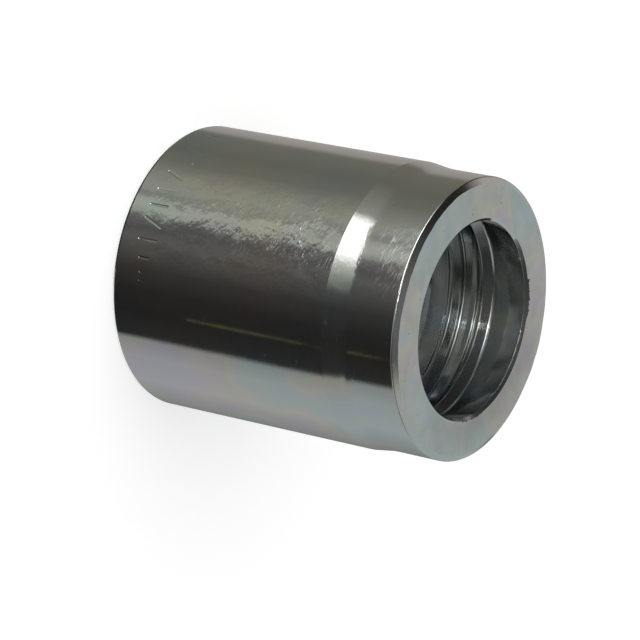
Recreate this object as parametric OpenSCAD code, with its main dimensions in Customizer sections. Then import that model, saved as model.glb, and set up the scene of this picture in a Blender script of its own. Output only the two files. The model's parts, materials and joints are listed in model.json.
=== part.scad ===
// Crimp hose ferrule: a turned steel sleeve that is crimped down over a hydraulic hose and its fitting stem.
// It stands on its hose end with the collar up. +Z runs along the axis and out of the collar.

/* [Body] */
// Overall length, from the hose end to the collar face
ferrule_len = 34.8; // [26:0.1:50]
// Thickness of the wall behind the groove floors
wall = 2.1; // [1.5:0.1:4]
// Rounding of the outer edge at the hose end
end_round = 0.6; // [0.2:0.1:1.2]

/* [Collar] */
// Drop in radius from the body to the collar
collar_step = 0.35; // [0.15:0.05:0.8]
// Length of the straight collar, from its face to the shoulder
collar_len = 6.1; // [3:0.1:9]
// Length of the shoulder's taper out to the body
shoulder_len = 2.45; // [1.5:0.05:5]
// Length along the collar of the hollow blend into the shoulder
blend_len = 0.8; // [0.3:0.1:1.4]
// Width across the face of the chamfer on the collar's outer edge
edge_width = 0.65; // [0.2:0.05:1.2]
// Depth along the axis of the chamfer on the collar's outer edge
edge_depth = 0.4; // [0.2:0.05:1.2]

/* [Collar bore] */
// Diameter of the bore that passes over the fitting stem
bore_d = 20.3; // [16:0.1:22]
// Thickness of the collar's end wall
collar_wall = 2.3; // [1.4:0.1:4]
// Chamfer at the mouth of the bore
mouth_chamfer = 0.3; // [0.1:0.05:0.6]
// Chamfer at the inner edge of the bore
inner_chamfer = 0.2; // [0.1:0.05:0.6]

/* [Hose socket] */
// Diameter across the ridge crests
crest_d = 22; // [21.2:0.1:26]
// Depth below the crests of the plain chamber behind the collar's end wall
chamber_depth = 0.9; // [0.4:0.1:1.8]
// Distance from the collar face to the crest of the locking ridge
lock_ridge = 5.9; // [4:0.1:7.4]
// Length of the sloping flank on the collar side of the locking ridge
lock_flank = 0.9; // [0.3:0.1:1.8]
// Height of the ridges above the groove floors
ridge_height = 1.9; // [1:0.1:2.6]
// Distance from the collar face to the crest of the first gripping ridge
first_ridge = 9.5; // [8:0.1:12]
// Distance from one gripping ridge to the next
ridge_pitch = 5; // [3:0.1:8]
// Flat width of each crest
crest_land = 0.35; // [0.2:0.05:0.9]
// Length of the steep flank on the collar side of a gripping ridge
grip_flank = 0.1; // [0.1:0.05:0.8]
// Length of the sloping flank on the hose side of every ridge
entry_flank = 1.4; // [0.8:0.1:2]
// Shortest plain length between the last ridge and the hose end
entry_len = 3; // [1.5:0.1:6]
// Lead-in chamfer at the hose end
lead_in = 0.7; // [0.3:0.1:1.2]

/* [Hidden] */
$fn = 128;
crest_r = crest_d / 2;
chamber_r = crest_r + chamber_depth;
groove_r = crest_r + ridge_height;
body_r = groove_r + wall;
collar_r = body_r - collar_step;
bore_r = bore_d / 2;
collar_z = ferrule_len - collar_len;
shoulder_z = collar_z - shoulder_len;
socket_z = ferrule_len - collar_wall;
lock_z = ferrule_len - lock_ridge;
taper = atan(collar_step / shoulder_len);
blend_r = blend_len / tan(taper / 2);
ridge_len = crest_land + entry_flank;
ridge_room = ferrule_len - first_ridge - ridge_len - entry_len;
ridge_count = 1 + floor(ridge_room / ridge_pitch);

// Height of the collar-side edge of a gripping ridge's crest, counted from the collar
function grip_z(ridge) = ferrule_len - first_ridge - ridge * ridge_pitch;

// One ridge's corners in the half section, from the groove on its hose side to the floor on its collar side
function ridge_points(top_z, floor_r, flank) = [
    [groove_r, top_z - ridge_len],
    [crest_r, top_z - crest_land],
    [crest_r, top_z],
    [floor_r, top_z + flank]
];

// Hollow arc that leads the collar into the shoulder's taper
module shoulder_blend() {
    difference() {
        polygon([
            [collar_r, collar_z + blend_len],
            [collar_r - collar_step, collar_z],
            [collar_r + blend_len * sin(taper), collar_z - blend_len * cos(taper)]
        ]);
        translate([collar_r + blend_r, collar_z + blend_len]) circle(r = blend_r);
    }
}

// Sharp corner that the rounding takes off the hose end
module end_corner() {
    translate([body_r - end_round, 0]) difference() {
        square(end_round);
        translate([0, end_round]) circle(r = end_round);
    }
}

// Half section of the outside, filled to the axis
module outside() {
    difference() {
        union() {
            polygon([
                [0, 0],
                [body_r, 0],
                [body_r, shoulder_z],
                [collar_r, collar_z],
                [collar_r, ferrule_len - edge_depth],
                [collar_r - edge_width, ferrule_len],
                [0, ferrule_len]
            ]);
            shoulder_blend();
        }
        end_corner();
    }
}

// Half section of the bore through the collar's end wall
module collar_bore() {
    polygon([
        [0, socket_z],
        [bore_r + inner_chamfer, socket_z],
        [bore_r, socket_z + inner_chamfer],
        [bore_r, ferrule_len - mouth_chamfer],
        [bore_r + mouth_chamfer, ferrule_len],
        [0, ferrule_len]
    ]);
}

// Half section of the hose socket: gripping ridges, then the locking ridge and the chamber behind the collar
module hose_socket() {
    polygon(concat(
        [[0, 0], [groove_r + lead_in, 0], [groove_r, lead_in]],
        [for (ridge = [ridge_count - 1:-1:0]) each ridge_points(grip_z(ridge), groove_r, grip_flank)],
        ridge_points(lock_z, chamber_r, lock_flank),
        [[chamber_r, socket_z], [0, socket_z]]
    ));
}

module ferrule() {
    color([0.72, 0.73, 0.74]) rotate_extrude() difference() {
        outside();
        collar_bore();
        hose_socket();
    }
}

ferrule();
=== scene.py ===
import json
import math

import bpy
import numpy as np
from mathutils import Matrix, Vector


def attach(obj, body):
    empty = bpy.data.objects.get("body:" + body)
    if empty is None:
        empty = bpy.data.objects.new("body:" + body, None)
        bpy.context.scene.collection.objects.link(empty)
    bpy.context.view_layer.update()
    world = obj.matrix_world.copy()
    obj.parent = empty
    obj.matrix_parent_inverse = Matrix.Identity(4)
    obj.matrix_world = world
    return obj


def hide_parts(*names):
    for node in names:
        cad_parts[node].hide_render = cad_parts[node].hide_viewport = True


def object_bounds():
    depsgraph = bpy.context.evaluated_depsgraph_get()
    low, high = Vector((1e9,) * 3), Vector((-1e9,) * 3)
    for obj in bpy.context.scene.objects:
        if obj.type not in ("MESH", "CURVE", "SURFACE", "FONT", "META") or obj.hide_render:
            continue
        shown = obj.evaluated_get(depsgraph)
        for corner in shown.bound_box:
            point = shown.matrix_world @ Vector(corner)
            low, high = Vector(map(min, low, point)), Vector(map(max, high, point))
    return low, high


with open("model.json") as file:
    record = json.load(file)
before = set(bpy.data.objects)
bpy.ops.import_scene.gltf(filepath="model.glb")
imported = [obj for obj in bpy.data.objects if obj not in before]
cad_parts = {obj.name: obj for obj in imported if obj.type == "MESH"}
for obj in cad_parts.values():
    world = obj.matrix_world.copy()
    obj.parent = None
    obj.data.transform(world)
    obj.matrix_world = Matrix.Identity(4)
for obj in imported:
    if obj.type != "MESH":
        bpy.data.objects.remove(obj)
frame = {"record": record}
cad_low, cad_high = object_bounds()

MM = 0.001
MOUNTS = {mount["name"]: mount for mount in frame["record"]["mounts"]}

# Sizes of the turned profile, in millimetres
LENGTH = (cad_high.z - cad_low.z) / MM
BODY_R = (cad_high.y - cad_low.y) / MM / 2
END_ROUND = 0.6
COLLAR_STEP = 0.35
COLLAR_LEN = 6.1
SHOULDER_LEN = 2.45
SHOULDER_BLEND = 0.8
EDGE_WIDTH = 0.65
EDGE_DEPTH = 0.4
BORE_R = MOUNTS["stem_bore"]["dims"]["r_mm"]
COLLAR_WALL = 2.3
MOUTH_CHAMFER = 0.3
INNER_CHAMFER = 0.2
CREST_R = MOUNTS["hose_socket"]["dims"]["r_mm"]
CHAMBER_DEPTH = 0.9
RIDGE_HEIGHT = 1.9
CHAMBER_R = CREST_R + CHAMBER_DEPTH
GROOVE_R = CREST_R + RIDGE_HEIGHT
LOCK_RIDGE = 5.9
LOCK_FLANK = 0.9
FIRST_RIDGE = 9.5
RIDGE_PITCH = 5.0
RIDGE_COUNT = 5
CREST_LAND = 0.35
GRIP_FLANK = 0.1
ENTRY_FLANK = 1.4
LEAD_IN = 0.7

# Roundings that turning and plating leave on the edges and inner corners, in millimetres
COLLAR_EDGE = 0.21
FACE_EDGE = 0.07
CREST_EDGE = 0.16
CREST_BACK = 0.05
SHARP_EDGE = 0.06
SOFT_EDGE = 0.4
LOCK_FOOT = 0.6
SHOULDER_EDGE = 0.3

# Steps in each rounding, and the most of an edge that a rounding may take
ARC_STEPS = 3
ARC_SHARE = 0.45

# Places in the outline of the corners at the collar face's rim and at the mouth of the bore
FACE_CORNER = 4
MOUTH_CORNER = 5

# The row of stamped marks, in millimetres: it starts to the left of the front
STAMP_Z = 3.75
STAMP_HEIGHT = 2.2
STAMP_DEPTH = 0.06
STAMP_STROKE = 0.17
STAMP_PITCH = 1.9
STAMP_START = -16.6
SLOPE_STEP = STAMP_STROKE / 8

# Each mark is a list of strokes: across and up, from the mark's middle, as shares of the mark's height
GAP = []
BAR = [((0.0, -0.5), (0.0, 0.5))]
SHORT_BAR = [((0.0, -0.25), (0.0, 0.25))]
SLANT = [((-0.2, -0.5), (0.2, 0.5))]
DOT = [((0.0, 0.44), (0.0, 0.45))]
TWO_DOTS = [((-0.2, -0.1), (-0.2, -0.09)), ((0.2, -0.1), (0.2, -0.09))]
STAMP_ROW = [SHORT_BAR, GAP, SLANT, DOT, SLANT, BAR, BAR, SLANT, BAR, SHORT_BAR, TWO_DOTS]

# Ragged stretches that the boring tool left round the mouth: the span of each in degrees from the front, the
# number of its cuts, and the length of its longest cut in millimetres
BURRS = [(98.0, 120.0, 10, 0.3), (186.0, 211.0, 14, 0.65)]

# Width of a cut in millimetres, the shortest cut and the plain band along a stretch as shares of its longest
# cut, and the degrees over which that band starts and ends
BURR_WIDTH = 0.12
BURR_LEAST = 0.3
BURR_BAND = 0.3
BURR_ENDS = 4.0

# Wander of the collar face's rim: its size in millimetres, and the counts of waves that make it up
EDGE_WANDER = 0.07
WANDER_WAVES = (5, 11, 23, 41, 67)
SEED = 7

# Steps of the mesh: millimetres in the stamped row, degrees at the ragged stretches and degrees elsewhere
FINE_STEP = 0.085
BURR_DEGREES = 0.4
COARSE_DEGREES = 1.5

# Places of the three materials on the mesh
WALL_SLOT, FACE_SLOT, BORE_SLOT = range(3)

# The zinc's own grey, the pale tints of its thin bright plate, and the step between them along a noise
ZINC = (0.66, 0.67, 0.68)
VIOLET = (0.67, 0.64, 0.71)
BLUE = (0.61, 0.68, 0.72)
GREEN = (0.62, 0.70, 0.66)
YELLOW = (0.71, 0.70, 0.62)
PINK = (0.72, 0.65, 0.66)
TINTS = [BLUE, GREEN, ZINC, YELLOW, PINK, VIOLET]
TINT_STEP = 0.07

# Range that holds most values of a noise
NOISE_RANGE = (0.3, 0.7)

# Relief of the wall: cycles of a noise for each millimetre along X, Y and Z, its detail, and its depth in mm
WALL_WAVES = ((0.16, 0.16, 0.11), 1.0, 0.025)
WALL_GRAIN = ((4.5, 4.5, 5.5), 2.0, 0.003)
WALL_LINES = ((0.5, 0.5, 5.0), 3.0, 0.001)
WALL_SCUFFS = [
    ((0.3, 0.3, 0.25), 1.0, 0.25),
    ((0.8, 0.8, 1.0), 2.0, 0.09),
    ((2.2, 2.2, 3.5), 1.0, 0.022),
]

# The scuffed flank of the wall: the way it faces, the shares of the wall's radius between which it starts,
# the heights in millimetres between which its scuffs weaken, and the share of them that is left above
SCUFF_WAY = (-0.3, -0.954, 0.0)
SCUFF_SIDE = (0.92, 0.985)
SCUFF_TOP = (24.0, 26.5)
SCUFF_LEFT = 0.22

# Nicks on that flank: turns from a line round the wall in degrees, cycles for each millimetre along and
# across, the part of the noise that makes a nick, depth in millimetres, and the patches that the nicks lie in
NICK_TURNS = (8.0, 30.0)
NICK_CYCLES = (0.6, 9.0)
NICK_PART = (0.67, 0.73)
NICK_DEPTH = 0.0018
NICK_PATCHES = ((0.25, 0.25, 0.25), 1.0)
PATCH_PART = (0.42, 0.62)
PATCH_SHARES = (0.2, 1.0)

# Tints of the wall: cycles of their noise, the shares of the wall's radius across the view between which they
# grow stronger, and their strengths
WALL_TINT_CYCLES = (0.12, 0.12, 0.09)
TINTED_SIDE = (0.4, 0.65)
TINT_STRENGTHS = (0.45, 1.2)

# Roughness of the wall, and what dull spots and nicks add to it
WALL_ROUGHNESS = (0.07, 0.12)
DULL_SPOTS = ((1.6, 1.6, 2.6), 2.0)
SPOT_PART = (0.64, 0.74)
SPOT_ROUGHNESS = 0.12
NICK_ROUGHNESS = 0.22

# The collar's face: rings and specks with their depths in millimetres, clouds, tints and roughness
RING_CYCLES = 4.0
RING_DETAIL = 3.0
RING_DEPTH = 0.006
SPECKS = ((1.6, 1.6, 1.6), 1.0)
SPECK_PART = (0.74, 0.80)
SPECK_DEPTH = 0.02
SPECK_SHADE = 0.6
CLOUDS = ((0.5, 0.5, 0.5), 4.0)
CLOUD_SHADES = (0.91, 1.09)
FACE_TINT_CYCLES = (0.13, 0.13, 0.13)
FACE_PATCHES = ((0.5, 0.5, 0.5), 3.0)
FACE_ROUGHNESS = (0.30, 0.40)

# Painted shade on the darker side of the face: the way from the axis to it, the shares of the bore's radius
# between which it grows along that way and weakens out from the axis, and its strengths at the bore and at
# the rim
PAINTED_SHADE_WAY = (0.77, 0.64, 0.0)
PAINTED_SHADE_SIDE = (0.3, 1.0)
PAINTED_SHADE_RING = (1.1, 1.37)
PAINTED_SHADE_STRENGTHS = (0.22, 0.04)

# The bore and socket: relief as on the wall, tints, and roughness with the part of the noise that sets it
BORE_LINES = ((0.3, 0.3, 6.0), 3.0, 0.0008)
BORE_WAVES = ((0.35, 0.35, 0.2), 2.0, 0.01)
BORE_TINTS = ((0.15, 0.15, 0.1), 2.0)
SOCKET_TINTS = [(0.35, (0.64, 0.69, 0.72)), (0.5, (0.68, 0.70, 0.70)), (0.65, (0.72, 0.70, 0.65))]
BORE_STAINS = ((0.5, 0.5, 0.4), 3.0)
STAIN_PART = (0.35, 0.7)
BORE_ROUGHNESS = (0.07, 0.14)
BORE_ANISOTROPY = 0.45
QUARTER_TURN = 0.25

# The bore's dull mouth and its bright cut edge: the depths behind the collar face between which each ends, in
# millimetres, how dull the mouth is, and the share of the roughness that the edge keeps
DULL_MOUTH = (4.8, 5.2)
DULL_METALLIC = 0.975
DULL_ROUGHNESS = 0.03
BRIGHT_EDGE = (0.4, 0.5)
BRIGHT_SHARE = 0.35

# The floor and the boards on it, in millimetres
FLOOR_SIDE = 1500.0
FLOOR_DROP = 0.02
BASE_LIFT = 0.03
TONES_LIFT = 0.05
UPPER_LIFT = 0.1
FOOT_LIFT = 0.12
BASE_REACH = 690.0
TONES_REACH = (150.0, 320.0)
SHOULDER_NEAR = 60.0
INNER_REACH = 13.4
FOOT_RING = (14.2, 15.22)
STRIP_DASHES = [
    (14.0, 15.5),
    (16.2, 18.0),
    (18.4, 22.0),
    (22.3, 25.5),
    (25.8, 30.0),
    (30.8, 32.5),
    (33.6, 36.5),
    (41.0, 43.5),
    (44.2, 48.0),
    (49.0, 52.0),
]

# Spans of the ring boards in degrees from the front, steps over which the foot board narrows at each end, and
# steps of the boards
FULL_TURN = (0.0, 360.0)
FOOT_TURNS = (-76.0, 34.0)
FOOT_ENDS = 20
BOARD_STEPS = 6
RING_STEPS = 64
SKY_STEPS = 48

# Paint and glow of the floor, and levels of the boards on it
FLOOR_PAINT = (0.82, 0.82, 0.82, 1.0)
FLOOR_GLOW = 0.5
BASE_LEVEL = 0.42
INNER_LEVEL = 0.18

# Tints of the boards
WHITE = (1.0, 1.0, 0.98)
WARM = (1.0, 1.02, 0.89)
DUSKY = (1.0, 0.95, 0.93)
COOL = (0.95, 1.0, 0.99)
LIME = (0.95, 1.0, 0.5)
TEAL = (0.95, 1.0, 0.98)

# Tones that the wall mirrors, from its upper edge in the view to its lower edge: place across, level and tint
WALL_TONES = [
    (-0.999, 0.40, DUSKY),
    (-0.945, 0.35, DUSKY),
    (-0.92, 0.18, WARM),
    (-0.78, 0.155, WARM),
    (-0.68, 0.18, WARM),
    (-0.50, 0.335, WARM),
    (-0.45, 0.34, WARM),
    (-0.425, 0.26, WARM),
    (-0.40, 0.30, WARM),
    (-0.365, 0.44, WARM),
    (-0.32, 0.46, WARM),
    (-0.285, 0.38, WARM),
    (-0.25, 0.17, DUSKY),
    (-0.21, 0.135, DUSKY),
    (-0.17, 0.105, DUSKY),
    (-0.11, 0.135, DUSKY),
    (-0.05, 0.10, DUSKY),
    (0.10, 0.045, DUSKY),
    (0.25, 0.024, DUSKY),
    (0.40, 0.021, DUSKY),
    (0.56, 0.03, COOL),
    (0.59, 0.32, COOL),
    (0.70, 0.41, COOL),
    (0.85, 0.44, COOL),
    (0.93, 0.345, COOL),
    (0.999, 0.18, COOL),
]

# Tones of glowing floor dashes that the wall mirrors as a thin broken strip of reflection low on it
STRIP_TONES = [(0.38, 0.02, LIME), (0.386, 0.1, LIME), (0.394, 0.1, LIME), (0.40, 0.02, LIME)]

# Tones that only the shoulder mirrors, where it is brightest
SHOULDER_TONES = [
    (-0.74, 0.17, WARM),
    (-0.60, 0.27, WARM),
    (-0.53, 0.35, WARM),
    (-0.47, 1.6, WHITE),
    (-0.25, 1.6, WHITE),
    (-0.18, 0.60, WARM),
    (-0.08, 0.30, WARM),
    (0.00, 0.085, COOL),
    (0.10, 0.042, COOL),
    (0.30, 0.024, DUSKY),
    (0.50, 0.03, COOL),
    (0.53, 0.05, COOL),
    (0.56, 0.32, COOL),
    (0.70, 0.41, COOL),
]

# Distances of the boards in the air, in millimetres
TENT_REACH = 700.0
FLAG_REACH = 500.0
NEAR_REACH = 450.0
TUBE_REACH = 430.0

# Spans of the boards in the air: angles round the ferrule from the front, and heights, in degrees
TENT_SPAN = ((-180.0, 180.0), (0.0, 90.0))
CANOPY_SPAN = ((-140.0, 112.0), (13.0, 90.0))
LEFT_FLAG_SPAN = ((-152.0, -88.0), (0.0, 28.0))
RIGHT_FLAG_SPAN = ((50.0, 118.0), (8.0, 44.0))
SOFT_BOX_SPAN = ((-85.0, -8.0), (0.0, 13.0))
BAR_SPAN = ((-58.0, 42.0), (41.0, 53.0))
SIDE_BOX_SPAN = ((-8.0, 90.0), (2.0, 12.0))

# Levels of the boards in the air
TENT_LEVEL = 0.46
FLAG_LEVEL = 0.035
CANOPY_LEVEL = 0.036
LOW_CANOPY_LEVEL = 0.04
OVERHEAD_LEVEL = 0.12
WINDOW_LEVEL = 0.26
RIGHT_LEVEL = 0.3
SOFT_BOX_LEVEL = 5.0
SIDE_BOX_LEVEL = 0.35
BAR_LEVEL = 6.5

# Where the canopy changes, in degrees: each pair runs from none of a change to all of it
LOW_CANOPY_LIFTS = (34.0, 26.0)
LOW_CANOPY_TURNS = (40.0, 0.0)
OVERHEAD_LIFTS = (50.0, 85.0)
WINDOW_LIFTS = (40.0, 24.0)
LEFT_OPENING_TURNS = (-128.0, -140.0)
RIGHT_OPENING_TURNS = (88.0, 112.0)
RIGHT_OPENING_LIFTS = (42.0, 52.0)
SHADED_TURNS = (-60.0, -110.0)
SHADED_SHARE = 0.4

# The soft window in the canopy: its middle, its width at the floor and how fast it narrows upwards
WINDOW_TURN = -14.0
WINDOW_WIDTH = 33.0
WINDOW_TAPER = 1 / 3

# Where the other boards change, in degrees
SOFT_BOX_TURNS = (-55.0, -85.0)
SOFT_BOX_LOSS = 0.9
LEFT_LOW_LIFT = 5.0
LEFT_RISE = 9.0
LEFT_RISE_TURNS = (-150.0, -138.0)
LEFT_TURNS = (-124.0, -140.0)
LEFT_SOFTNESS = 8.0
RIGHT_TURNS = (50.0, 62.0)
RIGHT_TOP_LIFT = 40.0
RIGHT_LOW_LIFT = 34.0
RIGHT_DROP = 10.0
RIGHT_DROP_TURNS = (80.0, 94.0)

# The bar of light, in degrees, and its droop for each degree from its middle
BAR_TURN = -8.0
BAR_WIDTH = 16.0
BAR_LIFTS = (47.5, 52.5)
BAR_DROOP = 0.12
BAR_SOFTNESS = 0.5

# Two upright tubes of light: their angles from the front, and their parts with heights in degrees and levels
TUBE_TURNS = [(-4.0, -2.4), (-8.2, -7.4)]
TUBE_PARTS = [(55.0, 62.0, 10.0), (46.0, 53.0, 12.0), (14.0, 34.0, 2.0)]

# Light from all round, and the key lamp with its place and size in millimetres and its power in watts
WORLD_LEVEL = 0.5
KEY_PLACE = (-300.0, -350.0, 700.0)
KEY_SIZE = 900.0
KEY_POWER = 2.0

# The camera, fitted to the photograph: sizes of its frame in pixels, distances in millimetres, and angles
PHOTO_SIDE = 640
FOCAL_PX = 3500
FACE_CENTRE_PX = (474.5, 320.2)
FACE_DISTANCE = 353.5
SENSOR = 36.0
CLIP_START = 10.0
CAMERA_LIFT = math.radians(32.81)
AXIS_SLOPE = math.radians(11.58)


def rounded_outline(corners):
    """Rounds a closed outline of corners (r, z, rounding). Gives places and the outward directions there."""
    places, normals = [], []
    count = len(corners)
    for i, (r, z, rounding) in enumerate(corners):
        here = np.array((r, z))
        before = np.array(corners[i - 1][:2]) - here
        after = np.array(corners[(i + 1) % count][:2]) - here
        before_len, after_len = np.linalg.norm(before), np.linalg.norm(after)
        before, after = before / before_len, after / after_len
        half = math.acos(np.clip(before @ after, -1, 1)) / 2
        reach = min(rounding / math.tan(half), ARC_SHARE * before_len, ARC_SHARE * after_len)
        radius = reach * math.tan(half)
        middle = (before + after) / np.linalg.norm(before + after)
        centre = here + middle * radius / math.sin(half)
        start, end = here + before * reach, here + after * reach
        turn = -before[0] * after[1] + before[1] * after[0]
        side = 1 if turn > 0 else -1
        for k in range(ARC_STEPS + 1):
            share = k / ARC_STEPS
            spoke = (start - centre) * (1 - share) + (end - centre) * share
            spoke = spoke / np.linalg.norm(spoke)
            places.append(centre + spoke * radius)
            normals.append(spoke * side)
    return np.array(places), np.array(normals)


def ridge_corners(crest_z, floor_r, flank, foot_rounding):
    """Corners of one ridge, from the floor on its collar side to the groove on its hose side."""
    return [
        (floor_r, crest_z + flank, foot_rounding),
        (CREST_R, crest_z, CREST_EDGE),
        (CREST_R, crest_z - CREST_LAND, CREST_BACK),
        (GROOVE_R, crest_z - CREST_LAND - ENTRY_FLANK, SOFT_EDGE),
    ]


def profile_corners():
    """Corners of the half section, up the outside from the hose end and back down the bore."""
    collar_r = BODY_R - COLLAR_STEP
    collar_z = LENGTH - COLLAR_LEN
    socket_z = LENGTH - COLLAR_WALL
    taper = math.atan2(COLLAR_STEP, SHOULDER_LEN)
    outside = [
        (BODY_R, 0.0, END_ROUND),
        (BODY_R, collar_z - SHOULDER_LEN, SHOULDER_EDGE),
        (collar_r, collar_z, SHOULDER_BLEND / math.tan(taper / 2)),
        (collar_r, LENGTH - EDGE_DEPTH, COLLAR_EDGE),
        (collar_r - EDGE_WIDTH, LENGTH, FACE_EDGE),
    ]
    bore = [
        (BORE_R + MOUTH_CHAMFER, LENGTH, SHARP_EDGE),
        (BORE_R, LENGTH - MOUTH_CHAMFER, SHARP_EDGE),
        (BORE_R, socket_z + INNER_CHAMFER, SHARP_EDGE),
        (BORE_R + INNER_CHAMFER, socket_z, SHARP_EDGE),
        (CHAMBER_R, socket_z, SOFT_EDGE),
    ]
    bore += ridge_corners(LENGTH - LOCK_RIDGE, CHAMBER_R, LOCK_FLANK, LOCK_FOOT)
    for ridge in range(RIDGE_COUNT):
        crest_z = LENGTH - FIRST_RIDGE - ridge * RIDGE_PITCH
        bore += ridge_corners(crest_z, GROOVE_R, GRIP_FLANK, SOFT_EDGE)
    bore += [(GROOVE_R, LEAD_IN, SOFT_EDGE), (GROOVE_R + LEAD_IN, 0.0, SHARP_EDGE)]
    return outside + bore


def stamp_strokes():
    """Both ends of each stamped stroke: along the wall from the front, and up from the hose end."""
    strokes = []
    for i, mark in enumerate(STAMP_ROW):
        middle = STAMP_START + i * STAMP_PITCH
        for (x0, y0), (x1, y1) in mark:
            start = (middle + x0 * STAMP_HEIGHT, STAMP_Z + y0 * STAMP_HEIGHT)
            end = (middle + x1 * STAMP_HEIGHT, STAMP_Z + y1 * STAMP_HEIGHT)
            strokes.append((np.array(start), np.array(end)))
    return strokes


def stamp_depth(along, height):
    """Depth of the stamped row below the wall, in millimetres, at places on the wall."""
    nearest = np.full(along.shape, np.inf)
    for start, end in stamp_strokes():
        run = end - start
        share = ((along - start[0]) * run[0] + (height - start[1]) * run[1]) / (run @ run)
        share = np.clip(share, 0, 1)
        gap = np.hypot(along - start[0] - share * run[0], height - start[1] - share * run[1])
        nearest = np.minimum(nearest, gap)
    slope = np.clip(1 - nearest / STAMP_STROKE, 0, 1)
    return STAMP_DEPTH * slope * slope * (3 - 2 * slope)


def stamp_slopes(along, height):
    """How fast the stamped row deepens along the wall and up it."""
    deepens_along = stamp_depth(along + SLOPE_STEP, height) - stamp_depth(along - SLOPE_STEP, height)
    deepens_up = stamp_depth(along, height + SLOPE_STEP) - stamp_depth(along, height - SLOPE_STEP)
    return deepens_along / (2 * SLOPE_STEP), deepens_up / (2 * SLOPE_STEP)


def stamp_heights():
    """Heights of the fine rows of the stamped band, in millimetres."""
    reach = STAMP_HEIGHT / 2 + 3 * STAMP_STROKE
    return np.arange(STAMP_Z - reach, STAMP_Z + reach, FINE_STEP)


def wall_angles():
    """Angles of the columns from the front: fine at the marks and ragged stretches, coarse elsewhere."""
    first = (STAMP_START - STAMP_PITCH) / BODY_R
    last = (STAMP_START + STAMP_PITCH * len(STAMP_ROW)) / BODY_R
    spans = [(first, last, FINE_STEP / BODY_R)]
    for low, high, *_ in BURRS:
        spans.append((math.radians(low), math.radians(high), math.radians(BURR_DEGREES)))
    starts = [low for low, *_ in spans[1:]] + [first + 2 * math.pi]
    parts = []
    for (low, high, step), following in zip(spans, starts):
        parts.append(np.linspace(low, high, int((high - low) / step) + 1))
        coarse = int((following - high) / math.radians(COARSE_DEGREES)) + 1
        parts.append(np.linspace(high, following, coarse + 1)[1:-1])
    return np.concatenate(parts)


def burr_cuts(angles):
    """How far the ragged stretches round the mouth reach out past its rim, in millimetres."""
    draw = np.random.RandomState(SEED)
    reach = np.zeros_like(angles)
    for low, high, count, cut in BURRS:
        inside = np.minimum(np.degrees(angles) - low, high - np.degrees(angles)) / BURR_ENDS
        reach = np.maximum(reach, BURR_BAND * cut * np.clip(inside, 0, 1))
        for place in np.radians(draw.uniform(low, high, count)):
            depth = cut * draw.uniform(BURR_LEAST, 1.0)
            gap = np.abs(angles - place) * BORE_R
            reach = np.maximum(reach, depth * np.clip(1 - gap / BURR_WIDTH, 0, 1))
    return reach


def edge_wander(angles):
    """How far the rim of the collar's face wanders, in millimetres."""
    draw = np.random.RandomState(SEED + 1)
    wander = np.zeros_like(angles)
    for waves in WANDER_WAVES:
        wander += np.sin(waves * angles + draw.uniform(0, 2 * math.pi)) / math.sqrt(waves)
    return EDGE_WANDER * wander


def profile_rows():
    """Places and outward directions of the rows in the half section, and the rows of the stamped band."""
    places, normals = rounded_outline(profile_corners())
    heights = stamp_heights()
    first = ARC_STEPS + 1
    band_places = np.stack([np.full(len(heights), BODY_R), heights], 1)
    band_normals = np.tile((1.0, 0.0), (len(heights), 1))
    places = np.concatenate([places[:first], band_places, places[first:]])
    normals = np.concatenate([normals[:first], band_normals, normals[first:]])
    return places, normals, slice(first, first + len(heights))


def corner_rows(corner, band):
    """The rows of one rounded corner past the stamped band."""
    first = band.stop - band.start + corner * (ARC_STEPS + 1)
    return slice(first, first + ARC_STEPS + 1)


def ring_faces(rows, columns):
    """Faces of a closed ring of rows, each of them a closed ring of columns."""
    faces = []
    for i in range(rows):
        low, high = i * columns, (i + 1) % rows * columns
        for j in range(columns):
            k = (j + 1) % columns
            faces.append((low + j, low + k, high + k, high + j))
    return faces


def ferrule_mesh():
    """The ferrule as one closed revolved mesh with the marks pressed into its wall, and the rows' places."""
    places, normals, band = profile_rows()
    angles = wall_angles()
    columns = len(angles)
    angle, r = np.meshgrid(angles, places[:, 0])
    z = np.tile(places[:, 1][:, None], (1, columns))
    n_r = np.tile(normals[:, 0][:, None], (1, columns))
    n_z = np.tile(normals[:, 1][:, None], (1, columns))
    n_t = np.zeros_like(n_r)
    along = angle[band] * BODY_R
    r[band] -= stamp_depth(along, z[band])
    n_t[band], n_z[band] = stamp_slopes(along, z[band])
    r[corner_rows(FACE_CORNER, band)] += edge_wander(angles)
    r[corner_rows(MOUTH_CORNER, band)] += burr_cuts(angles)
    x, y = np.sin(angle), -np.cos(angle)
    place = np.stack([r * x, r * y, z], -1).reshape(-1, 3) * MM
    normal = np.stack([n_r * x - n_t * y, n_r * y + n_t * x, n_z], -1).reshape(-1, 3)
    normal /= np.linalg.norm(normal, axis=1)[:, None]
    mesh = bpy.data.meshes.new("ferrule")
    mesh.from_pydata(place.tolist(), [], ring_faces(len(places), columns))
    mesh.shade_smooth()
    mesh.normals_split_custom_set_from_vertices(normal.tolist())
    return mesh, places


def row_slots(places):
    """Which material each row of faces takes: the wall's, the collar face's or the bore's."""
    rows = len(places)
    on_face = np.isclose(places[:, 1], LENGTH)
    inner_rim = np.flatnonzero(on_face)[-1]
    slots = np.full(rows, WALL_SLOT, np.int32)
    slots[inner_rim : rows - 1] = BORE_SLOT
    slots[on_face & np.roll(on_face, -1)] = FACE_SLOT
    return slots


def node(tree, kind, values=(), **settings):
    """A shader node. Its values, by place or by name, are numbers, colours or other nodes' sockets."""
    made = tree.nodes.new("ShaderNode" + kind)
    for name, setting in settings.items():
        setattr(made, name, setting)
    for key, value in values.items() if isinstance(values, dict) else enumerate(values):
        if isinstance(value, bpy.types.NodeSocket):
            tree.links.new(value, made.inputs[key])
        else:
            made.inputs[key].default_value = value
    return made


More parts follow.
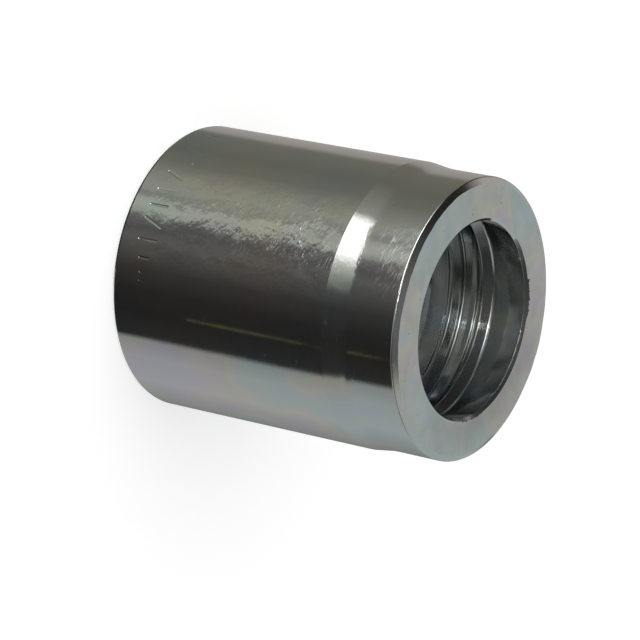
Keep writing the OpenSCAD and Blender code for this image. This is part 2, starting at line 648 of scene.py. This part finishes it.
def maths(tree, operation, *values):
    """The result of an operation on numbers or sockets."""
    return node(tree, "Math", values, operation=operation).outputs[0]


def object_place(tree):
    """The place on the ferrule, in metres."""
    return node(tree, "TexCoord").outputs["Object"]


def toward(tree, way):
    """How far the place on the ferrule lies along a way from the axis, in metres."""
    return node(tree, "VectorMath", [object_place(tree), way], operation="DOT_PRODUCT").outputs["Value"]


def noise(tree, cycles, detail=2.0):
    """Cloudy noise over the ferrule, with its cycles for each millimetre along X, Y and Z."""
    spread = node(tree, "Mapping", {"Vector": object_place(tree), "Scale": [c / MM for c in cycles]})
    return node(tree, "TexNoise", {"Vector": spread.outputs[0], "Scale": 1.0, "Detail": detail}).outputs[0]


def scratches(tree, turn, cycles):
    """Streaky noise on the unrolled wall.

    The turn of its streaks is in degrees, and its cycles are for each millimetre along them and across.
    """
    part = node(tree, "SeparateXYZ", [object_place(tree)]).outputs
    angle = maths(tree, "ARCTAN2", part["X"], maths(tree, "MULTIPLY", part["Y"], -1.0))
    arc = maths(tree, "MULTIPLY", angle, BODY_R * MM)
    unrolled = node(tree, "CombineXYZ", [arc, part["Z"]]).outputs[0]
    values = {"Vector": unrolled, "Angle": math.radians(turn)}
    turned = node(tree, "VectorRotate", values, rotation_type="Z_AXIS").outputs[0]
    scale = [c / MM for c in cycles] + [1.0]
    streaks = node(tree, "Mapping", {"Vector": turned, "Scale": scale}).outputs[0]
    values = {"Vector": streaks, "Scale": 1.0, "Detail": 1.0}
    return node(tree, "TexNoise", values, noise_dimensions="2D").outputs[0]


def ramp(tree, share, stops):
    """Colours along a share from 0 to 1."""
    made = node(tree, "ValToRGB", {"Fac": share})
    elements = made.color_ramp.elements
    for i, (place, colour) in enumerate(stops):
        element = elements[i] if i < 2 else elements.new(place)
        element.position = place
        element.color = (*colour, 1)
    return made.outputs["Color"]


def span(tree, value, old, new):
    """A value carried from one range to another, and held at its ends."""
    return node(tree, "MapRange", [value, *old, *new]).outputs[0]


def bump(tree, height, depth, normal=None):
    """Relief of a height from 0 to 1, with its depth in millimetres."""
    made = node(tree, "Bump", {"Height": height, "Distance": depth * MM, "Strength": 1.0})
    if normal is not None:
        tree.links.new(normal, made.inputs["Normal"])
    return made.outputs[0]


def noise_bump(tree, relief, normal=None):
    """Relief of a noise, from its cycles, detail and depth."""
    cycles, detail, depth = relief
    return bump(tree, noise(tree, cycles, detail), depth, normal)


def pastel(tree, share):
    """The zinc's tints along a noisy share, with its grey near the middle."""
    middle = (len(TINTS) - 1) / 2
    stops = [(0.5 + (i - middle) * TINT_STEP, tint) for i, tint in enumerate(TINTS)]
    return ramp(tree, share, stops)


def new_material(name):
    """An empty material, with its node tree and its output's surface."""
    material = bpy.data.materials.new(name)
    material.use_nodes = True
    tree = material.node_tree
    tree.nodes.clear()
    output = tree.nodes.new("ShaderNodeOutputMaterial")
    return material, tree, output.inputs["Surface"]


def wall_nicks(tree, flank):
    """Short nicks in patches on the scuffed flank, from 0 to 1."""
    patches = span(tree, noise(tree, *NICK_PATCHES), PATCH_PART, PATCH_SHARES)
    streaks = maths(tree, "MAXIMUM", *[scratches(tree, turn, NICK_CYCLES) for turn in NICK_TURNS])
    marks = span(tree, streaks, NICK_PART, (0.0, 1.0))
    return maths(tree, "MULTIPLY", marks, maths(tree, "MULTIPLY", flank, patches))


def wall_relief(tree, flank, nicks):
    """The wall's waves, grain, turned lines and nicks, and the scuffs of its flank."""
    height = node(tree, "SeparateXYZ", [object_place(tree)]).outputs["Z"]
    below = span(tree, height, [z * MM for z in SCUFF_TOP], (1.0, SCUFF_LEFT))
    scuffed = maths(tree, "MULTIPLY", flank, below)
    relief = noise_bump(tree, WALL_WAVES)
    relief = noise_bump(tree, WALL_GRAIN, relief)
    relief = noise_bump(tree, WALL_LINES, relief)
    relief = bump(tree, nicks, NICK_DEPTH, relief)
    for cycles, detail, depth in WALL_SCUFFS:
        swell = maths(tree, "SUBTRACT", noise(tree, cycles, detail), 0.5)
        relief = bump(tree, maths(tree, "MULTIPLY", swell, scuffed), depth, relief)
    return relief


def wall_tint(tree):
    """The wall's tints, which are stronger on its lower side in the view."""
    across = node(tree, "SeparateXYZ", [object_place(tree)]).outputs["X"]
    strength = span(tree, across, [share * BODY_R * MM for share in TINTED_SIDE], TINT_STRENGTHS)
    swell = maths(tree, "SUBTRACT", noise(tree, WALL_TINT_CYCLES), 0.5)
    return pastel(tree, maths(tree, "MULTIPLY_ADD", swell, strength, 0.5))


def zinc_wall():
    """Bright zinc on the turned outside: turned lines, fine grain, a few nicks and a scuffed flank."""
    material, tree, surface = new_material("zinc_wall")
    flank = span(tree, toward(tree, SCUFF_WAY), [share * BODY_R * MM for share in SCUFF_SIDE], (0.0, 1.0))
    nicks = wall_nicks(tree, flank)
    gloss = span(tree, noise(tree, *WALL_LINES[:2]), NOISE_RANGE, WALL_ROUGHNESS)
    dull_spots = span(tree, noise(tree, *DULL_SPOTS), SPOT_PART, (0.0, SPOT_ROUGHNESS))
    dull_nicks = span(tree, nicks, (0.0, 1.0), (0.0, NICK_ROUGHNESS))
    shader = node(tree, "BsdfPrincipled", {
        "Base Color": wall_tint(tree),
        "Metallic": 1.0,
        "Roughness": maths(tree, "ADD", gloss, maths(tree, "ADD", dull_spots, dull_nicks)),
        "Normal": wall_relief(tree, flank, nicks),
    })
    tree.links.new(shader.outputs[0], surface)
    return material


def zinc_face():
    """Satin zinc on the faced end: fine rings round the axis, pale tints, painted shade on one side and dark
    specks.
    """
    material, tree, surface = new_material("zinc_face")
    flat = node(tree, "VectorMath", [object_place(tree), (1.0, 1.0, 0.0)], operation="MULTIPLY").outputs[0]
    radius = node(tree, "VectorMath", [flat], operation="LENGTH").outputs["Value"]
    values = {"W": radius, "Scale": RING_CYCLES / MM, "Detail": RING_DETAIL}
    rings = node(tree, "TexNoise", values, noise_dimensions="1D").outputs[0]
    specks = span(tree, noise(tree, *SPECKS), SPECK_PART, (0.0, 1.0))
    # Painted shade: the face's colour is darkened towards one side, near the bore
    painted_side = span(tree, toward(tree, PAINTED_SHADE_WAY), [share * BORE_R * MM for share in PAINTED_SHADE_SIDE], (0.0, 1.0))
    painted_shade = span(tree, radius, [share * BORE_R * MM for share in PAINTED_SHADE_RING], PAINTED_SHADE_STRENGTHS)
    painted_shade = maths(tree, "MULTIPLY", painted_side, painted_shade)
    dark = maths(tree, "SUBTRACT", span(tree, specks, (0.0, 1.0), (1.0, SPECK_SHADE)), painted_shade)
    clouds = span(tree, noise(tree, *CLOUDS), NOISE_RANGE, CLOUD_SHADES)
    shade = maths(tree, "MULTIPLY", clouds, dark)
    values = {"Vector": pastel(tree, noise(tree, FACE_TINT_CYCLES)), "Scale": shade}
    shader = node(tree, "BsdfPrincipled", {
        "Base Color": node(tree, "VectorMath", values, operation="SCALE").outputs[0],
        "Metallic": 1.0,
        "Roughness": span(tree, noise(tree, *FACE_PATCHES), NOISE_RANGE, FACE_ROUGHNESS),
        "Normal": bump(tree, specks, SPECK_DEPTH, bump(tree, rings, RING_DEPTH)),
    })
    tree.links.new(shader.outputs[0], surface)
    return material


def zinc_bore():
    """Zinc on the turned bore and socket, with a grain round the axis that draws glints out along it."""
    material, tree, surface = new_material("zinc_bore")
    height = node(tree, "SeparateXYZ", [object_place(tree)]).outputs["Z"]

    def mouth(depths, inside, outside):
        """A value that changes between two depths behind the collar face."""
        return span(tree, height, [(LENGTH - depth) * MM for depth in reversed(depths)], (inside, outside))

    dull = mouth(DULL_MOUTH, 0.0, 1.0)
    gloss = span(tree, noise(tree, *BORE_STAINS), STAIN_PART, BORE_ROUGHNESS)
    rough = maths(tree, "MULTIPLY_ADD", dull, DULL_ROUGHNESS, gloss)
    shader = node(tree, "BsdfPrincipled", {
        "Base Color": ramp(tree, noise(tree, *BORE_TINTS), SOCKET_TINTS),
        "Metallic": mouth(DULL_MOUTH, 1.0, DULL_METALLIC),
        "Roughness": maths(tree, "MULTIPLY", rough, mouth(BRIGHT_EDGE, 1.0, BRIGHT_SHARE)),
        "Anisotropic": BORE_ANISOTROPY,
        "Anisotropic Rotation": QUARTER_TURN,
        "Tangent": node(tree, "Tangent", direction_type="RADIAL", axis="Z").outputs[0],
        "Normal": noise_bump(tree, BORE_WAVES, noise_bump(tree, BORE_LINES)),
    })
    tree.links.new(shader.outputs[0], surface)
    return material


def make_ferrule():
    """The ferrule with its three zinc finishes, in place of its solid."""
    mesh, places = ferrule_mesh()
    piece = bpy.data.objects.new("ferrule_zinc", mesh)
    bpy.context.scene.collection.objects.link(piece)
    for material in (zinc_wall(), zinc_face(), zinc_bore()):
        mesh.materials.append(material)
    columns = len(mesh.vertices) // len(places)
    mesh.polygons.foreach_set("material_index", np.repeat(row_slots(places), columns))
    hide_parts("ferrule")
    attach(piece, "root")


def seen_background(tree):
    """1 for the rays that show the background: camera, mirror and glass rays."""
    path = node(tree, "LightPath").outputs
    seen = path["Is Camera Ray"]
    for name in ("Is Glossy Ray", "Is Transmission Ray"):
        seen = maths(tree, "MAXIMUM", seen, path[name])
    return seen


def stage_mesh(name, corners, faces, material):
    """A mesh of the stage, with its corners in millimetres."""
    mesh = bpy.data.meshes.new(name)
    mesh.from_pydata([[c * MM for c in corner] for corner in corners], [], faces)
    mesh.materials.append(material)
    made = bpy.data.objects.new(name, mesh)
    bpy.context.scene.collection.objects.link(made)
    return made


def make_floor():
    """A plain pale floor that keeps the ferrule's shadow."""
    material, tree, surface = new_material("floor_white")
    paint = node(tree, "BsdfDiffuse", {"Color": FLOOR_PAINT})
    glow = node(tree, "Emission", {"Strength": maths(tree, "MULTIPLY", seen_background(tree), FLOOR_GLOW)})
    both = node(tree, "AddShader", [paint.outputs[0], glow.outputs[0]])
    tree.links.new(both.outputs[0], surface)
    side, low = FLOOR_SIDE, -FLOOR_DROP
    corners = [(-side, -side, low), (side, -side, low), (side, side, low), (-side, side, low)]
    stage_mesh("floor", corners, [(0, 1, 2, 3)], material)


def glow_material(name):
    """A glow that takes its colour from the corners of the board that it is on."""
    material, tree, surface = new_material(name)
    tone = node(tree, "Attribute", attribute_name="tone").outputs["Color"]
    tree.links.new(node(tree, "Emission", {"Color": tone}).outputs[0], surface)
    return material


def stage_board(name, corners, faces, tones):
    """A studio board that only mirror rays see, with a tone at each corner."""
    board = stage_mesh(name, corners, faces, glow_material(name))
    colours = board.data.color_attributes.new("tone", "FLOAT_COLOR", "POINT")
    colours.data.foreach_set("color", np.array([(*tone, 1) for tone in tones], np.float32).ravel())
    board.visible_camera = False
    board.visible_shadow = False
    board.visible_diffuse = False


def toned(level, tint):
    """A tint at a level of light."""
    return [level * part for part in tint]


def floor_board(name, stops, reaches, lift):
    """A board on the floor round the ferrule, between two distances from its wall.

    Each stop is a place across the view, as a share of the wall's radius, and the level and tint that the
    wall mirrors there. Past the second distance, where there is a third, the tones give way to the base's.
    """
    corners, tones, faces = [], [], []
    step = len(reaches)
    for (across, *tone), (next_across, *next_tone) in zip(stops[:-1], stops[1:]):
        turns = np.linspace(math.asin(across), math.asin(next_across), BOARD_STEPS + 1)
        for k, turn in enumerate(turns):
            foot = Vector((math.sin(turn), -math.cos(turn))) * BODY_R
            way = Vector((math.sin(2 * turn), -math.cos(2 * turn)))
            mirrored = Vector(toned(*tone)).lerp(Vector(toned(*next_tone)), k / BOARD_STEPS)
            for reach, shown in zip(reaches, (mirrored, mirrored, toned(BASE_LEVEL, COOL))):
                spot = foot + way * reach
                corners.append((spot.x, spot.y, lift))
                tones.append(shown)
            if k:
                count = len(corners)
                faces += [(i - step - 1, i - step, i, i - 1) for i in range(count - step + 1, count)]
    stage_board(name, corners, faces, tones)


def ring_board(name, turns, radii, lift, tone, narrowed=0):
    """A part of a flat ring on the floor, between two angles from the front and two radii.

    It narrows to nothing over a number of steps at each end.
    """
    corners, faces = [], []
    inside, outside = radii
    for k, turn in enumerate(np.radians(np.linspace(*turns, RING_STEPS + 1))):
        width = min(k, RING_STEPS - k) / narrowed if narrowed else 1
        for radius in (inside, inside + (outside - inside) * min(width, 1)):
            corners.append((radius * math.sin(turn), -radius * math.cos(turn), lift))
        if k:
            low = 2 * k - 2
            faces.append((low, low + 1, low + 3, low + 2))
    stage_board(name, corners, faces, [tone] * len(corners))


def sky_board(name, spans, tone_at, reach):
    """A curved board in the air, with its spans of angle from the front and of height, in degrees."""
    turns, lifts = spans
    corners, faces, tones = [], [], []
    for turn in np.linspace(*turns, SKY_STEPS + 1):
        for lift in np.linspace(*lifts, SKY_STEPS + 1):
            across, up = math.radians(turn), math.radians(lift)
            way = (math.sin(across) * math.cos(up), -math.cos(across) * math.cos(up), math.sin(up))
            corners.append([reach * part for part in way])
            tones.append(tone_at(turn, lift))
    for i in range(SKY_STEPS):
        for j in range(SKY_STEPS):
            low = i * (SKY_STEPS + 1) + j
            high = low + SKY_STEPS + 1
            faces.append((low, high, high + 1, low + 1))
    stage_board(name, corners, faces, tones)


def plain(level):
    """A tone that is the same all over a board."""
    return lambda turn, lift: toned(level, COOL)


def fade(value, low, high):
    """A smooth step from 0 at low to 1 at high."""
    share = min(max((value - low) / (high - low), 0), 1)
    return share * share * (3 - 2 * share)


def bell(value, middle, width):
    """A smooth bump of height 1 round a middle."""
    return math.exp(-(((value - middle) / width) ** 2) / 2)


def canopy_tone(turn, lift):
    """Dark cloth over the front with a soft window by the camera, paler overhead and open at both sides."""
    level = CANOPY_LEVEL
    level += LOW_CANOPY_LEVEL * fade(lift, *LOW_CANOPY_LIFTS) * fade(turn, *LOW_CANOPY_TURNS)
    level += OVERHEAD_LEVEL * fade(lift, *OVERHEAD_LIFTS)
    window = bell(turn, WINDOW_TURN, WINDOW_WIDTH - WINDOW_TAPER * lift)
    level += WINDOW_LEVEL * window * fade(lift, *WINDOW_LIFTS)
    level *= 1 - SHADED_SHARE * fade(turn, *SHADED_TURNS)
    right_opening = fade(turn, *RIGHT_OPENING_TURNS) * fade(lift, *RIGHT_OPENING_LIFTS)
    opening = max(fade(turn, *LEFT_OPENING_TURNS), right_opening)
    tint = DUSKY if turn < SHADED_TURNS[0] else TEAL
    return toned(level * (1 - opening) + TENT_LEVEL * opening, tint)


def soft_box_tone(turn, lift):
    """A bright soft box that dims towards its left end."""
    return toned(SOFT_BOX_LEVEL * (1 - SOFT_BOX_LOSS * fade(turn, *SOFT_BOX_TURNS)), COOL)


def bar_light_tone(turn, lift):
    """A bar of light across the front, which droops and dims towards both ends."""
    low, high = [edge - BAR_DROOP * abs(turn - BAR_TURN) for edge in BAR_LIFTS]
    above_low = fade(lift, low - BAR_SOFTNESS, low + BAR_SOFTNESS)
    below_high = fade(lift, high + BAR_SOFTNESS, high - BAR_SOFTNESS)
    level = BAR_LEVEL * bell(turn, BAR_TURN, BAR_WIDTH) * above_low * below_high
    return toned(level + CANOPY_LEVEL, COOL)


def left_flag_tone(turn, lift):
    """Dark cloth at the left, which gives way to the tent behind the ferrule and above."""
    rise = LEFT_LOW_LIFT + LEFT_RISE * fade(turn, *LEFT_RISE_TURNS)
    opening = fade(turn, *LEFT_TURNS) * fade(lift, rise, rise + LEFT_SOFTNESS)
    return toned(FLAG_LEVEL * (1 - opening) + TENT_LEVEL * opening, DUSKY)


def right_flag_tone(turn, lift):
    """Cloth at the right, pale low down and dark towards the front and the top."""
    low_lift = RIGHT_LOW_LIFT - RIGHT_DROP * fade(turn, *RIGHT_DROP_TURNS)
    low_end = fade(turn, *RIGHT_TURNS) * fade(lift, RIGHT_TOP_LIFT, low_lift)
    return toned(2 * CANOPY_LEVEL + RIGHT_LEVEL * low_end, COOL)


def make_floor_boards():
    """The boards on the floor, which give the wall, the shoulder and the socket what they mirror."""
    floor_board("tone_board", WALL_TONES, (0.0, *TONES_REACH), TONES_LIFT)
    floor_board("shoulder_board", SHOULDER_TONES, (SHOULDER_NEAR, *TONES_REACH), UPPER_LIFT)
    for i, dash in enumerate(STRIP_DASHES):
        floor_board(f"strip_board_{i}", STRIP_TONES, dash, UPPER_LIFT)
    ring_board("base_board", FULL_TURN, (BODY_R, BASE_REACH), BASE_LIFT, toned(BASE_LEVEL, COOL))
    ring_board("foot_board", FOOT_TURNS, FOOT_RING, FOOT_LIFT, toned(FLAG_LEVEL, COOL), FOOT_ENDS)
    ring_board("inner_board", FULL_TURN, (0.0, INNER_REACH), UPPER_LIFT, toned(INNER_LEVEL, TEAL))


def make_sky_boards():
    """The boards in the air, which give the collar, the edges and the bore what they mirror."""
    sky_board("tent", TENT_SPAN, plain(TENT_LEVEL), TENT_REACH)
    sky_board("canopy", CANOPY_SPAN, canopy_tone, FLAG_REACH)
    sky_board("left_flag", LEFT_FLAG_SPAN, left_flag_tone, NEAR_REACH)
    sky_board("right_flag", RIGHT_FLAG_SPAN, right_flag_tone, NEAR_REACH)
    sky_board("soft_box", SOFT_BOX_SPAN, soft_box_tone, NEAR_REACH)
    sky_board("bar_light", BAR_SPAN, bar_light_tone, NEAR_REACH)
    sky_board("side_box", SIDE_BOX_SPAN, plain(SIDE_BOX_LEVEL), FLAG_REACH)
    for i, turns in enumerate(TUBE_TURNS):
        for k, (low, high, level) in enumerate(TUBE_PARTS):
            sky_board(f"strip_light_{i}_{k}", (turns, (low, high)), plain(level), TUBE_REACH)


def make_world():
    """Soft light from all round, and a white background for the rays that show it."""
    world = bpy.data.worlds.new("studio")
    world.use_nodes = True
    tree = world.node_tree
    tree.nodes.clear()
    white = (1.0, 1.0, 1.0, 1.0)
    light = node(tree, "Background", {"Color": white, "Strength": WORLD_LEVEL})
    background = node(tree, "Background", {"Color": white, "Strength": 1.0})
    both = node(tree, "MixShader", [seen_background(tree), light.outputs[0], background.outputs[0]])
    node(tree, "OutputWorld", {"Surface": both.outputs[0]})
    bpy.context.scene.world = world


def make_key_lamp():
    """A large soft lamp over the ferrule, which casts its shadow and isn't mirrored."""
    light = bpy.data.lights.new("key", "AREA")
    light.shape = "DISK"
    light.size = KEY_SIZE * MM
    light.energy = KEY_POWER
    lamp = bpy.data.objects.new("key", light)
    lamp.location = Vector(KEY_PLACE) * MM
    lamp.rotation_mode = "QUATERNION"
    lamp.rotation_quaternion = (-Vector(KEY_PLACE)).to_track_quat("-Z", "Y")
    lamp.visible_camera = False
    lamp.visible_glossy = False
    bpy.context.scene.collection.objects.link(lamp)


def make_camera():
    """The camera, turned so that the standing ferrule lies in its frame as it does in the photograph."""
    forward = Vector((0, math.cos(CAMERA_LIFT), -math.sin(CAMERA_LIFT)))
    axis = Vector((0, 0, 1))
    along = (axis - forward * axis.dot(forward)).normalized()
    across = forward.cross(along)
    right = along * math.cos(AXIS_SLOPE) - across * math.sin(AXIS_SLOPE)
    down = along * math.sin(AXIS_SLOPE) + across * math.cos(AXIS_SLOPE)
    off_x, off_y = [(px - PHOTO_SIDE / 2) / FOCAL_PX * FACE_DISTANCE for px in FACE_CENTRE_PX]
    face_centre = Vector((0, 0, LENGTH))
    place = face_centre - right * off_x - down * off_y - forward * FACE_DISTANCE
    data = bpy.data.cameras.new("camera")
    data.sensor_width = SENSOR
    data.lens = FOCAL_PX / PHOTO_SIDE * SENSOR
    data.clip_start = CLIP_START * MM
    camera = bpy.data.objects.new("camera", data)
    turned = Matrix((right, -down, -forward)).transposed().to_4x4()
    camera.matrix_world = Matrix.Translation(place * MM) @ turned
    bpy.context.scene.collection.objects.link(camera)
    bpy.context.scene.camera = camera


make_ferrule()
make_floor()
make_floor_boards()
make_sky_boards()
make_world()
make_key_lamp()
make_camera()
bpy.context.scene.view_settings.view_transform = "Standard"
